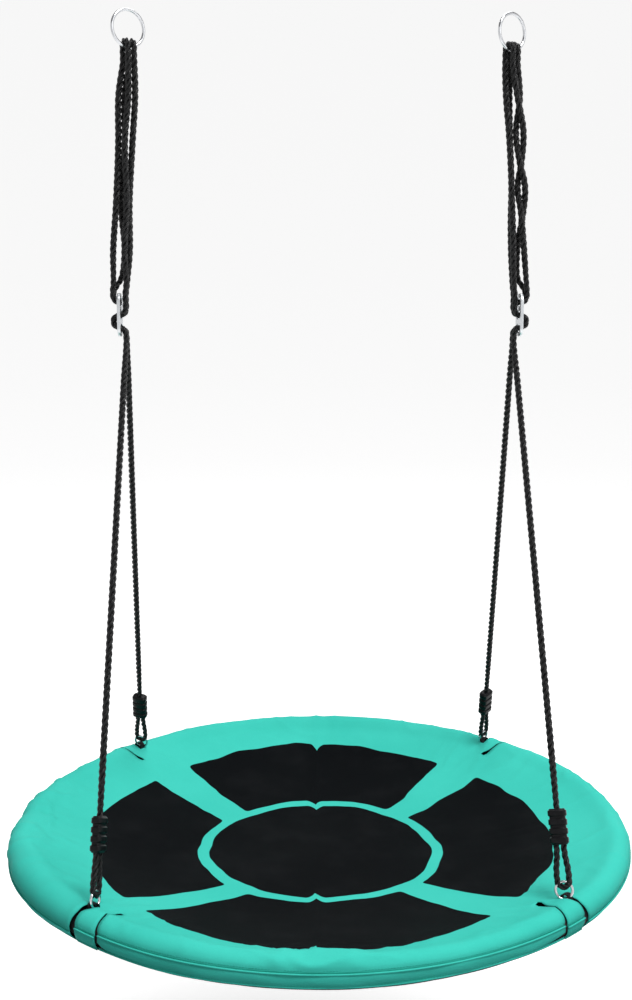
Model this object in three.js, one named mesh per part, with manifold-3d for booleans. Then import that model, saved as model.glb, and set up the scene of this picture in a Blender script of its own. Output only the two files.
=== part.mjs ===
// Saucer nest swing: a padded steel-tube hoop with a fabric seat, hung on four rope legs
// from two steel rings. Millimetres, +Z up, front at -Y. The origin lies midway between the
// centres of the two hanging rings, which are what a hook or carabiner holds.
import * as THREE from "three";
import { mergeVertices } from "three/addons/utils/BufferGeometryUtils.js";
import Module from "manifold-3d";

const wasm = await Module();
wasm.setup();

// ---- driving dimensions ----
const HOOP_RADIUS = 486; // centreline of the steel tube
const TUBE_RADIUS = 12.5;
const TUBE_WALL = 1.4;
const FOAM_RADIUS = 18;
const COVER_RADIUS = 22;
const COVER_THICKNESS = 1.8;
const PLAY = 0.4; // gap between neighbouring pieces

const SEAT_Z = -1285; // plane of the hoop
const DECK_RADIUS = 461;
const DECK_CENTRE_Z = SEAT_Z - 43.5;
const DECK_RISE = 56.8; // from the middle to the edge
const DECK_CURVE = 3.1; // power of the radius that the deck's height grows with
const DECK_THICKNESS = 3;

const RING_X = 297; // hanging rings, left and right of the origin
const RING_RADIUS = 27.5; // to the middle of the wire
const RING_WIRE = 2.5;
const RING_TURN = 35; // degrees about the vertical

const ADJUSTER_X = 319;
const ADJUSTER_Z = -435;
const PLATE_HEIGHT = 68;
const PLATE_WIDTH = 40;
const PLATE_THICKNESS = 5;
const PLATE_CORNER = 14;
const LEG_OFFSET = 9.7; // inward from the plate's middle, where a leg leaves it
const LEG_DROP = 42; // below the plate's middle
const SLOT_PITCH = 20.5;
const SLOT_HEIGHT = 13;
const SLOT_WIDTH = 29;

const ROPE_RADIUS = 4.75;
const ROPE_SIDES = 8;
const BIGHT_RADIUS = 8.4; // the rope's centreline round the ring's wire
const BIGHT_LIFT = 0.8; // the bights sit a little up the ring's curve
const BIGHT_DROP = 14; // straight run below the wire that moves with the bight
const LANE = 6.4; // front and back rope lie this far from the middle of the plate

const HANG_XY = 334; // the four hang points, from the middle in X and in Y
const HANG_Z = SEAT_Z + 32.6;
const LINK_RADIUS = 12; // small steel ring at each hang point
const LINK_WIRE = 2;
const LINK_ON_ROPE = 7.3; // from the middle of the link's wire to the rope's centreline
const EYE_LENGTH = 58;
const EYE_HALF_WIDTH = 8.6;
const EYE_NECK = 5.2;
const FERRULE_LENGTH = 51;
const FERRULE_WIDTH = 27;
const FERRULE_DEPTH = 18;
const FERRULE_CORNER = 6;
const RIBS = 4;
const RIB_GROOVE = 4.5; // between two ribs
const RIB_DEPTH = 1.8;

const LOOP_GAP = 9; // half the gap in the cover where the link's webbing loop comes up
const TAB_END = 35; // the tab beside the loop runs from the gap to here, along the hoop
const SLIT = 6; // opening between the tab and the cover beside it
const WEBBING_WIDTH = 46;
const WEBBING_THICKNESS = 1.4;
const EAR_WIDTH = 10; // narrow loop of webbing that holds the link

const SCREW_RADIUS = 2.5;
const SCREW_HEAD = { radius: 4.2, height: 2 };
const SCREW_SHANK = 5.1;
const ARC_STEP = 7.5; // degrees between the sections of everything bent round the hoop

// ---- materials ----
const finishes = {
  steel: { color: 0xc9ccce, roughness: 0.25, metalness: 1 },
  tube: { color: 0x9a9c9e, roughness: 0.45, metalness: 1 },
  foam: { color: 0x17191a, roughness: 0.95, metalness: 0 },
  rope: { color: 0x111214, roughness: 0.85, metalness: 0 },
  ferrule: { color: 0x141516, roughness: 0.55, metalness: 0 },
  webbing: { color: 0x101112, roughness: 0.9, metalness: 0 },
  cover: { color: 0x48d8c6, roughness: 0.8, metalness: 0 },
  deck: { color: 0x15181c, roughness: 0.85, metalness: 0 },
};

const swing = new THREE.Group();

function add(name, geometry, finish) {
  const mesh = new THREE.Mesh(geometry, new THREE.MeshStandardMaterial(finishes[finish]));
  mesh.name = name;
  swing.add(mesh);
  return mesh;
}

// ---- shape helpers ----
const rad = THREE.MathUtils.degToRad;
const vec = (x, y, z) => new THREE.Vector3(x, y, z);

// A regular outline with its corners on the circle.
function circlePoints(radius, sides) {
  const points = [];
  for (let i = 0; i < sides; i += 1) {
    const a = (2 * Math.PI * (i + 0.5)) / sides;
    points.push(new THREE.Vector2(radius * Math.cos(a), radius * Math.sin(a)));
  }
  return points;
}

// A path through fixed points with straight lines between them, evenly stepped by its points.
class Route extends THREE.Curve {
  constructor(points) {
    super();
    this.points = points;
  }

  getPoint(t) {
    const at = t * (this.points.length - 1);
    const i = Math.min(Math.floor(at), this.points.length - 2);
    return this.points[i].clone().lerp(this.points[i + 1], at - i);
  }

  getPointAt(t) {
    return this.getPoint(t);
  }

  getTangentAt(t) {
    const last = this.points.length - 1;
    const i = Math.round(t * last);
    const before = this.points[Math.max(i - 1, 0)];
    const after = this.points[Math.min(i + 1, last)];
    return after.clone().sub(before).normalize();
  }
}

// Everything round the hoop keeps its cross-section in a plane through the hoop's axis.
class HoopRoute extends Route {
  getTangentAt(t) {
    const point = this.getPoint(t);
    return vec(-point.y, point.x, 0).normalize();
  }
}

function sweepHoop(section, holes, from, to) {
  const shape = new THREE.Shape(section);
  for (const hole of holes) shape.holes.push(new THREE.Path(hole));
  const points = hoopPoints(from, to);
  const extrudePath = new HoopRoute(points);
  return new THREE.ExtrudeGeometry(shape, { steps: points.length - 1, bevelEnabled: false, extrudePath });
}

function rope(points) {
  const shape = new THREE.Shape(circlePoints(ROPE_RADIUS, ROPE_SIDES));
  const extrudePath = new Route(points);
  return new THREE.ExtrudeGeometry(shape, { steps: points.length - 1, bevelEnabled: false, extrudePath });
}

// A smooth line through the points, with the same number of steps between each two of them.
function smooth(points, stepsEach) {
  const curve = new THREE.CatmullRomCurve3(points, false, "centripetal");
  return curve.getPoints((points.length - 1) * stepsEach);
}

function toSolid(geometry) {
  const bare = geometry.clone();
  bare.deleteAttribute("normal");
  bare.deleteAttribute("uv");
  const merged = mergeVertices(bare, 1e-4);
  const vertProperties = new Float32Array(merged.attributes.position.array);
  const triVerts = new Uint32Array(merged.index.array);
  return new wasm.Manifold(new wasm.Mesh({ numProp: 3, vertProperties, triVerts }));
}

function fromSolid(solid) {
  const { vertProperties, triVerts } = solid.getMesh();
  const geometry = new THREE.BufferGeometry();
  geometry.setAttribute("position", new THREE.Float32BufferAttribute(vertProperties, 3));
  geometry.setIndex(new THREE.Uint32BufferAttribute(triVerts, 1));
  geometry.computeVertexNormals();
  return geometry;
}

function torus(radius, wire, around, along) {
  return new THREE.TorusGeometry(radius, wire, around, along);
}

// Points on the hoop's centreline between two angles in degrees, on the common steps.
function hoopPoints(from, to) {
  const angles = [from];
  const first = Math.floor(from / ARC_STEP + 1e-6) + 1;
  for (let k = first; k * ARC_STEP < to - 1e-6; k += 1) angles.push(k * ARC_STEP);
  angles.push(to);
  return angles.map((angle) => onChord(angle));
}

// The hoop is stepped, so a point between two steps lies on the chord that joins them.
function onChord(angle) {
  const k = Math.floor(angle / ARC_STEP + 1e-6);
  const a = hoopPoint(k * ARC_STEP);
  const b = hoopPoint((k + 1) * ARC_STEP);
  return a.lerp(b, angle / ARC_STEP - k);
}

function hoopPoint(angle) {
  return vec(HOOP_RADIUS * Math.cos(rad(angle)), HOOP_RADIUS * Math.sin(rad(angle)), SEAT_Z);
}

function degreesAlongHoop(length) {
  return THREE.MathUtils.radToDeg(length / HOOP_RADIUS);
}

// ---- hanging rings ----
const sides = [
  { name: "left", sign: -1 },
  { name: "right", sign: 1 },
];

for (const { name, sign } of sides) {
  const ring = add(`${name}_hanging_ring`, torus(RING_RADIUS, RING_WIRE, 8, 32), "steel");
  ring.rotation.set(Math.PI / 2, 0, rad(RING_TURN), "ZYX");
  ring.position.set(sign * RING_X, 0, 0);
}

// ---- adjuster plates, standing in the YZ plane ----
function slotPath(centre) {
  const path = new THREE.Path();
  const end = SLOT_WIDTH / 2 - SLOT_HEIGHT / 2;
  path.absarc(end, centre, SLOT_HEIGHT / 2, -Math.PI / 2, Math.PI / 2, false);
  path.absarc(-end, centre, SLOT_HEIGHT / 2, Math.PI / 2, (3 * Math.PI) / 2, false);
  return path;
}

function plateGeometry() {
  const round = PLATE_CORNER;
  const half = { w: PLATE_WIDTH / 2 - round, h: PLATE_HEIGHT / 2 - round };
  const shape = new THREE.Shape();
  shape.absarc(half.w, -half.h, round, -Math.PI / 2, 0, false);
  shape.absarc(half.w, half.h, round, 0, Math.PI / 2, false);
  shape.absarc(-half.w, half.h, round, Math.PI / 2, Math.PI, false);
  shape.absarc(-half.w, -half.h, round, Math.PI, (3 * Math.PI) / 2, false);
  for (const row of [-1, 0, 1]) shape.holes.push(slotPath(row * SLOT_PITCH));
  const plate = new THREE.ExtrudeGeometry(shape, {
    depth: PLATE_THICKNESS,
    bevelEnabled: false,
    curveSegments: 4,
  });
  return plate.translate(0, 0, -PLATE_THICKNESS / 2);
}

for (const { name, sign } of sides) {
  const plate = add(`${name}_adjuster_plate`, plateGeometry(), "steel");
  plate.rotation.set(Math.PI / 2, 0, Math.PI / 2, "ZYX");
  plate.position.set(sign * ADJUSTER_X, 0, ADJUSTER_Z);
}

// ---- ropes ----
// Each side has a front and a back rope. A rope starts in the plate's top slot, runs up the
// outer side as the tail, over the ring as the bight, down again as the run, weaves through
// the plate's middle and bottom slots and goes on as the leg to its ferrule and eye.

// Where the strands lie across the bundle: outward from the bundle's axis, backward, height.
const strands = {
  left: {
    front_tail: [[13, 3, -100], [11, 2, -170], [11, -2, -260], [13, -5, -335], [11, -6.4, -385]],
    back_tail: [[4, 8, -100], [2, 8, -170], [5, 9, -260], [-3, 11, -335], [1, 10, -378]],
    front_run: [[-3, -6, -100], [0, -7, -170], [-6, -7, -260], [-5, -8, -335], [-9, -7, -385]],
    back_run: [[-13, -2, -100], [-11, 1, -170], [-9, 4.5, -260], [-12, 3, -335], [-9.5, 5, -385]],
  },
  right: {
    front_tail: [
      [6, -6.3, -100],
      [13.8, -3.7, -150],
      [11.2, 4.3, -195],
      [3.2, 1.7, -235],
      [5.8, -6.3, -275],
      [11, -6.4, -385],
    ],
    back_tail: [
      [11.2, 4.3, -100],
      [3.2, 1.7, -150],
      [5.8, -6.3, -195],
      [13.8, -3.7, -235],
      [11.2, 4.3, -275],
      [2, 10, -325],
      [1, 10, -378],
    ],
    front_run: [[-11, 0, -100], [-9, -3, -150], [-8, -5, -205], [-8, -6, -300], [-9, -7, -385]],
    back_run: [[-4, 10, -100], [-5, 9.5, -150], [-5, 9.5, -230], [-9, 6, -300], [-9.5, 5, -385]],
  },
};

// Through the plate: outward from the plate's middle, and height from its middle.
const frontTailEntry = [[9.8, 36], [9.6, 30], [8.1, 24], [3.4, 20.6], [-2, 20.5]];
const backTailEntry = [[5.5, 44], [9.4, 36], [9.4, 29], [8.1, 24], [3.4, 20.6], [-2, 20.5]];
const weave = [
  [-9.6, 30],
  [-9.8, 12],
  [-8.2, 4.6],
  [-4, 0.3],
  [0, -0.2],
  [6.6, -2.9],
  [10, -10.25],
  [6.6, -17.6],
  [0, -20.3],
  [-4.4, -21.4],
  [-8.4, -26],
  [-9.6, -34],
  [-9.7, -42],
];

const bottomOfRing = -RING_RADIUS;
const bightEnd = bottomOfRing - BIGHT_DROP;
const strandStart = bightEnd - PLAY;

// The bundle's axis leans outward from the ring to the plate.
function bundleAxis(z) {
  const t = (z - bottomOfRing) / (ADJUSTER_Z - bottomOfRing);
  return THREE.MathUtils.lerp(RING_X, ADJUSTER_X, t);
}

// Along the ring's wire and across it, at the ring's lowest point.
const wireDirection = vec(Math.cos(rad(RING_TURN)), Math.sin(rad(RING_TURN)), 0);
const acrossWire = vec(-wireDirection.y, wireDirection.x, 0);

// The middle of a bight lies on the wire, a little to one side of the lowest point.
const bightSpacing = 5.4;

// toward is 1 or -1 for the two feet of a bight.
function bightFoot(sign, lane, toward, z) {
  const foot = wireDirection.clone().multiplyScalar(lane * bightSpacing);
  foot.addScaledVector(acrossWire, toward * BIGHT_RADIUS);
  return foot.add(vec(sign * RING_X, 0, z));
}

function bightPoints(sign, lane) {
  const points = [bightFoot(sign, lane, 1, bightEnd)];
  const steps = 10;
  for (let i = 0; i <= steps; i += 1) {
    const a = (Math.PI * i) / steps;
    const point = bightFoot(sign, lane, Math.cos(a), bottomOfRing + BIGHT_LIFT);
    point.z += BIGHT_RADIUS * Math.sin(a);
    points.push(point);
  }
  points.push(bightFoot(sign, lane, -1, bightEnd));
  return points;
}

// A strand leaves its foot straight down, then follows its list.
function strandPoints(sign, foot, list) {
  const below = foot.clone().add(vec(0, 0, -8));
  return [foot, below, ...list.map(([out, back, z]) => vec(sign * (bundleAxis(z) + out), back, z))];
}

function platePoints(sign, lane, list) {
  return list.map(([out, up]) => vec(sign * (ADJUSTER_X + out), lane * LANE, ADJUSTER_Z + up));
}

// ---- eyes, ferrules and links ----
const corners = [
  { side: 0, lane: -1, name: "left_front", twist: 25, tabSide: 1 },
  { side: 0, lane: 1, name: "left_back", twist: 25, tabSide: 1 },
  { side: 1, lane: -1, name: "right_front", twist: 25, tabSide: -1 },
  { side: 1, lane: 1, name: "right_back", twist: 0, tabSide: -1 },
];

// The leg's foot: its direction, and the axes of the eye and of the link across it.
function cornerFrame({ side, lane, twist }) {
  const sign = sides[side].sign;
  const link = vec(sign * HANG_XY, lane * HANG_XY, HANG_Z);
  const top = vec(sign * (ADJUSTER_X - LEG_OFFSET), lane * LANE, ADJUSTER_Z - LEG_DROP);
  const up = top.clone().sub(link).normalize();
  const turn = Math.atan2(link.y, link.x) + rad(twist);
  const eyeAxis = vec(Math.cos(turn), Math.sin(turn), 0);
  eyeAxis.addScaledVector(up, -eyeAxis.dot(up)).normalize();
  const linkAxis = up.clone().cross(eyeAxis);
  const eyeFoot = link.clone().addScaledVector(up, LINK_RADIUS - LINK_ON_ROPE);
  return { sign, link, top, up, eyeAxis, linkAxis, eyeFoot };
}

function placed(frame, across, along) {
  return frame.eyeFoot.clone().addScaledVector(frame.eyeAxis, across).addScaledVector(frame.up, along);
}

function eyePoints(frame) {
  const points = [placed(frame, EYE_NECK, EYE_LENGTH)];
  points.push(placed(frame, EYE_NECK + 0.6, EYE_LENGTH * 0.75));
  points.push(placed(frame, EYE_HALF_WIDTH - 0.4, EYE_LENGTH * 0.42));
  const steps = 8;
  for (let i = 0; i <= steps; i += 1) {
    const a = (Math.PI * i) / steps;
    const across = EYE_HALF_WIDTH * Math.cos(a);
    points.push(placed(frame, across, EYE_HALF_WIDTH * (1 - Math.sin(a))));
  }
  points.push(placed(frame, -EYE_HALF_WIDTH + 0.4, EYE_LENGTH * 0.42));
  points.push(placed(frame, -EYE_NECK - 0.6, EYE_LENGTH * 0.75));
  points.push(placed(frame, -EYE_NECK, EYE_LENGTH));
  return points;
}

// Ribbed clamp: a rounded bar with shallow grooves between its ribs.
function ferruleGeometry() {
  const corner = FERRULE_CORNER;
  const rib = (FERRULE_LENGTH - (RIBS - 1) * RIB_GROOVE) / RIBS;
  const bar = (inset, height) => {
    const w = FERRULE_WIDTH / 2 - inset - corner;
    const d = FERRULE_DEPTH / 2 - inset - corner;
    const shape = new THREE.Shape();
    shape.absarc(w, -d, corner, -Math.PI / 2, 0, false);
    shape.absarc(w, d, corner, 0, Math.PI / 2, false);
    shape.absarc(-w, d, corner, Math.PI / 2, Math.PI, false);
    shape.absarc(-w, -d, corner, Math.PI, (3 * Math.PI) / 2, false);
    return new THREE.ExtrudeGeometry(shape, { depth: height, bevelEnabled: false, curveSegments: 2 });
  };
  let solid = toSolid(bar(RIB_DEPTH, FERRULE_LENGTH - 2).translate(0, 0, 1));
  for (let i = 0; i < RIBS; i += 1) {
    solid = solid.add(toSolid(bar(0, rib).translate(0, 0, i * (rib + RIB_GROOVE))));
  }
  return fromSolid(solid);
}

const ferrule = ferruleGeometry();

function stand(mesh, xAxis, yAxis, zAxis, position) {
  const matrix = new THREE.Matrix4().makeBasis(xAxis, yAxis, zAxis).setPosition(position);
  mesh.applyMatrix4(matrix);
}

for (const corner of corners) {
  const { name, lane, side } = corner;
  const frame = cornerFrame(corner);
  const { sign } = frame;
  const lanes = strands[sides[side].name];
  const which = lane < 0 ? "front" : "back";
  const tail = strandPoints(sign, bightFoot(sign, lane, -sign, strandStart), lanes[`${which}_tail`]);
  const run = strandPoints(sign, bightFoot(sign, lane, sign, strandStart), lanes[`${which}_run`]);

  add(`${name}_rope_bight`, rope(bightPoints(sign, lane)), "rope");

  const entry = platePoints(sign, lane, lane < 0 ? frontTailEntry : backTailEntry);
  add(`${name}_rope_tail`, rope(smooth([...tail, ...entry], 3)), "rope");

  const ferruleTop = placed(frame, 0, EYE_LENGTH + FERRULE_LENGTH + 2 * PLAY);
  const woven = smooth([...run, ...platePoints(sign, lane, weave)], 2);
  const leg = smooth([frame.top, ferruleTop], 6).slice(1);
  add(`${name}_rope_leg`, rope([...woven, ...leg]), "rope");
  add(`${name}_rope_eye`, rope(eyePoints(frame)), "rope");

  const clamp = add(`${name}_ferrule`, ferrule.clone(), "ferrule");
  stand(clamp, frame.eyeAxis, frame.up.clone().cross(frame.eyeAxis), frame.up,
    placed(frame, 0, EYE_LENGTH + PLAY));

  const link = add(`${name}_link_ring`, torus(LINK_RADIUS, LINK_WIRE, 8, 20), "steel");
  stand(link, frame.linkAxis, frame.up, frame.eyeAxis, frame.link);
}

// ---- hoop: bent tubes on spigots, with a screw at each joint ----
const QUARTER = 90;
const FIRST_HANG = 45; // direction of the first hang point round the hoop
const tubeGap = degreesAlongHoop(PLAY);

// Head below the tube, shank up through the tube and the spigot.
function screwGeometry() {
  const { radius, height } = SCREW_HEAD;
  const head = new THREE.CylinderGeometry(radius, radius, height, 10).translate(0, -height / 2, 0);
  const shank = new THREE.CylinderGeometry(SCREW_RADIUS, SCREW_RADIUS, SCREW_SHANK, 8);
  shank.translate(0, SCREW_SHANK / 2 - 0.1, 0);
  return fromSolid(toSolid(head).add(toSolid(shank))).rotateX(Math.PI / 2);
}

function holeBelow(angle, radius, top, bottom) {
  const centre = onChord(angle);
  const hole = new THREE.CylinderGeometry(radius, radius, top - bottom, 8).rotateX(Math.PI / 2);
  return toSolid(hole.translate(centre.x, centre.y, SEAT_Z + (top + bottom) / 2));
}

// An eight-sided outline round the hoop's bar, with its flats at the radius.
function flats(radius) {
  return circlePoints(radius / Math.cos(Math.PI / 8), 8);
}

const bore = TUBE_RADIUS - TUBE_WALL;
const screw = screwGeometry();

for (let i = 0; i < 4; i += 1) {
  const start = i * QUARTER;
  const end = start + QUARTER - tubeGap;
  const screwAngle = start + ARC_STEP / 2;
  const throughWalls = holeBelow(screwAngle, SCREW_RADIUS + PLAY, 0, -TUBE_RADIUS - 2);
  const throughFoam = holeBelow(screwAngle, 5, 0, -FOAM_RADIUS - 2);
  const tube = sweepHoop(flats(TUBE_RADIUS), [flats(bore)], start + tubeGap, end);
  const spigot = sweepHoop(flats(bore - PLAY), [flats(bore - 2)], start - ARC_STEP, start + ARC_STEP);
  const foam = sweepHoop(flats(FOAM_RADIUS), [flats(TUBE_RADIUS + PLAY)], start + tubeGap, end);
  add(`frame_tube_${i + 1}`, fromSolid(toSolid(tube).subtract(throughWalls)), "tube");
  add(`tube_spigot_${i + 1}`, fromSolid(toSolid(spigot).subtract(throughWalls)), "tube");
  add(`foam_sleeve_${i + 1}`, fromSolid(toSolid(foam).subtract(throughFoam)), "foam");
  const placedScrew = add(`joint_screw_${i + 1}`, screw.clone(), "steel");
  placedScrew.position.copy(onChord(screwAngle)).setZ(SEAT_Z - TUBE_RADIUS - PLAY);
}

// ---- cover, tabs and webbing ----
const loopGap = degreesAlongHoop(LOOP_GAP);
const tabEnd = degreesAlongHoop(TAB_END);
const pastTab = degreesAlongHoop(TAB_END + SLIT);
const webbingHalf = degreesAlongHoop(WEBBING_WIDTH / 2);
const coverInside = COVER_RADIUS - COVER_THICKNESS;
const coverSection = [flats(COVER_RADIUS), [flats(coverInside)]];

// The covers lie between the hang points, in the order that these come round the hoop.
const hangOrder = ["right_back", "left_back", "left_front", "right_front"];
hangOrder.forEach((name, i) => {
  const before = corners.find((corner) => corner.name === name);
  const after = corners.find((corner) => corner.name === hangOrder[(i + 1) % 4]);
  const start = FIRST_HANG + i * QUARTER + (before.tabSide > 0 ? pastTab : loopGap);
  const end = FIRST_HANG + (i + 1) * QUARTER - (after.tabSide < 0 ? pastTab : loopGap);
  add(`rim_cover_${i + 1}`, sweepHoop(...coverSection, start, end), "cover");
});

const EAR_ANGLE = 114; // direction of the link from the middle of the bar
const ear = { foot: 18.2, hole: 20, shoulder: 27.6, top: 29.6, width: 13, wall: 1.4 };

// Drawn with the loop's height along X, then turned to stand out of the bar.
function earGeometry() {
  const half = ear.width / 2 + ear.wall;
  const shape = new THREE.Shape();
  shape.moveTo(ear.foot, -half);
  shape.lineTo(ear.shoulder, -half);
  shape.lineTo(ear.top + ear.wall, -half + 3.5);
  shape.lineTo(ear.top + ear.wall, half - 3.5);
  shape.lineTo(ear.shoulder, half);
  shape.lineTo(ear.foot, half);
  const hole = new THREE.Path();
  hole.moveTo(ear.hole, -ear.width / 2);
  hole.lineTo(ear.shoulder, -ear.width / 2);
  hole.lineTo(ear.top, -ear.width / 2 + 2.5);
  hole.lineTo(ear.top, ear.width / 2 - 2.5);
  hole.lineTo(ear.shoulder, ear.width / 2);
  hole.lineTo(ear.hole, ear.width / 2);
  shape.holes.push(hole);
  const loop = new THREE.ExtrudeGeometry(shape, { depth: EAR_WIDTH, bevelEnabled: false });
  return loop.translate(0, 0, -EAR_WIDTH / 2).rotateZ(rad(EAR_ANGLE)).rotateX(Math.PI / 2);
}

for (const { name, side, lane, tabSide } of corners) {
  const turn = Math.atan2(lane, sides[side].sign);
  const angle = (THREE.MathUtils.radToDeg(turn) + 360) % 360;
  const middle = onChord(angle);
  const webbingIn = FOAM_RADIUS + PLAY;
  const webbingOut = webbingIn + WEBBING_THICKNESS;
  const band = sweepHoop(flats(webbingOut), [flats(webbingIn)], angle - webbingHalf, angle + webbingHalf);
  const loop = earGeometry().rotateZ(turn).translate(middle.x, middle.y, middle.z);
  const foamRoom = toSolid(sweepHoop(flats(webbingIn), [], angle - webbingHalf, angle + webbingHalf));
  const webbing = toSolid(band).add(toSolid(loop).subtract(foamRoom));
  add(`${name}_webbing`, fromSolid(webbing), "webbing");
  const tabAngles = [angle + tabSide * loopGap, angle + tabSide * tabEnd].sort((a, b) => a - b);
  add(`${name}_rim_tab`, sweepHoop(...coverSection, ...tabAngles), "cover");
}

// ---- seat deck: a shallow dish of cloth ----
const deckRings = 5;

function deckHeight(radius) {
  return DECK_CENTRE_Z + DECK_RISE * (radius / DECK_RADIUS) ** DECK_CURVE;
}

const profile = [];
for (let i = 0; i <= deckRings; i += 1) {
  const r = (DECK_RADIUS * i) / deckRings;
  profile.push(new THREE.Vector2(r, deckHeight(r) - DECK_THICKNESS));
}
for (let i = deckRings; i >= 0; i -= 1) {
  const r = (DECK_RADIUS * i) / deckRings;
  profile.push(new THREE.Vector2(r, deckHeight(r)));
}
const deck = new THREE.LatheGeometry(profile, 360 / ARC_STEP).rotateX(Math.PI / 2);
add("seat_deck", deck, "deck");

export default swing;
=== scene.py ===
import math

import bpy
from mathutils import Matrix, Vector, noise


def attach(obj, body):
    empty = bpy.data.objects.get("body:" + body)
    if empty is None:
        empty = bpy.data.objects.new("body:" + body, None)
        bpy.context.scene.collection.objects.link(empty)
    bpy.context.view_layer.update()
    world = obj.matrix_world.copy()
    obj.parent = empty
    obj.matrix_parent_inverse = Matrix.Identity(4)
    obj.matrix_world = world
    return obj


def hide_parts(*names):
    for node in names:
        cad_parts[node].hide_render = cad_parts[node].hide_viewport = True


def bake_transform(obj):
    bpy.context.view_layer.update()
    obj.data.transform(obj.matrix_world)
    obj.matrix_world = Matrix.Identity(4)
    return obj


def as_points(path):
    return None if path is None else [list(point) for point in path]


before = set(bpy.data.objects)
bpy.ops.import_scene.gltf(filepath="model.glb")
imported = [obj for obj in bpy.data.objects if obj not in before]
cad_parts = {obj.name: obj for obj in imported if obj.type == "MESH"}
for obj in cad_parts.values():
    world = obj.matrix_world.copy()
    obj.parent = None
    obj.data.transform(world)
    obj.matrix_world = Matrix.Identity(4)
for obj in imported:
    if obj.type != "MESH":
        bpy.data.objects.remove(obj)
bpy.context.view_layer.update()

# Metres, the CAD's own frame: origin midway between the hanging rings, +Y to the back, +Z up.

TURN = 2 * math.pi

# ---- the CAD's driving dimensions, as the part's source has them ----
RING_X = 0.297
RING_RADIUS = 0.0275
RING_WIRE = 0.0025
RING_TURN = math.radians(35)
PLATE_X = 0.319
PLATE_Z = -0.435
PLATE_HEIGHT = 0.068
PLATE_WIDTH = 0.040
PLATE_THICK = 0.005
PLATE_CORNER = 0.014
SLOT_LENGTH = 0.029
SLOT_HEIGHT = 0.013
SLOT_PITCH = 0.0205
ROPE_RADIUS = 0.00475
BIGHT_RADIUS = 0.0084
BIGHT_LIFT = 0.0008
BIGHT_LEG = 0.014
LANE = 0.0064
LANE_ON_RING = 0.0054
HANG_XY = 0.334
HANG_Z = -1.2524
LINK_RADIUS = 0.012
LINK_WIRE = 0.002
LINK_ON_ROPE = 0.0073
HOOP_RADIUS = 0.486
SEAT_Z = -1.285
TUBE_RADIUS = 0.0125
FOAM_RADIUS = 0.018
SKIN_RADIUS = 0.0226
DECK_RADIUS = 0.461
DECK_DEPTH = 0.0435
DECK_RISE = 0.0568
DECK_CURVE = 3.1
WEBBING_HALF = 0.023
EAR_ANGLE = math.radians(114)
EAR_WIDTH = 0.010
EAR_WALL = 0.0007
WEBBING_THICK = 0.0014


def add_object(name, data):
    obj = bpy.data.objects.new(name, data)
    bpy.context.scene.collection.objects.link(obj)
    return obj


# ---- camera ----
def add_camera():
    data = bpy.data.cameras.new("camera")
    data.lens = 44.77
    data.sensor_width = 36
    data.sensor_fit = "AUTO"
    camera = add_object("camera", data)
    camera.location = (-0.0919, -2.0024, -0.4428)
    camera.rotation_euler = (math.pi / 2 - 0.1438, 0, -0.0418)
    bpy.context.scene.camera = camera


add_camera()


# ---- shader helpers ----
class Field:
    """A value over a surface, worked out by Math nodes."""

    def __init__(self, tree, socket):
        self.tree = tree
        self.socket = socket

    def math(self, operation, *others):
        node = self.tree.nodes.new("ShaderNodeMath")
        node.operation = operation
        for socket, value in zip(node.inputs, (self, *others)):
            if isinstance(value, Field):
                self.tree.links.new(value.socket, socket)
            else:
                socket.default_value = value
        return Field(self.tree, node.outputs[0])

    def __add__(self, other):
        return self.math("ADD", other)

    def __sub__(self, other):
        return self.math("SUBTRACT", other)

    def __mul__(self, other):
        return self.math("MULTIPLY", other)

    def root(self):
        return self.math("SQRT")

    def size(self):
        return self.math("ABSOLUTE")

    def sine(self):
        return self.math("SINE")

    def most(self, other):
        return self.math("MAXIMUM", other)

    def smooth_least(self, other, reach):
        return self.math("SMOOTH_MIN", other, reach)

    def ramp(self, low, high, out_low=0.0, out_high=1.0):
        node = self.tree.nodes.new("ShaderNodeMapRange")
        node.inputs["From Min"].default_value = low
        node.inputs["From Max"].default_value = high
        node.inputs["To Min"].default_value = out_low
        node.inputs["To Max"].default_value = out_high
        self.tree.links.new(self.socket, node.inputs["Value"])
        return Field(self.tree, node.outputs[0])


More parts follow.
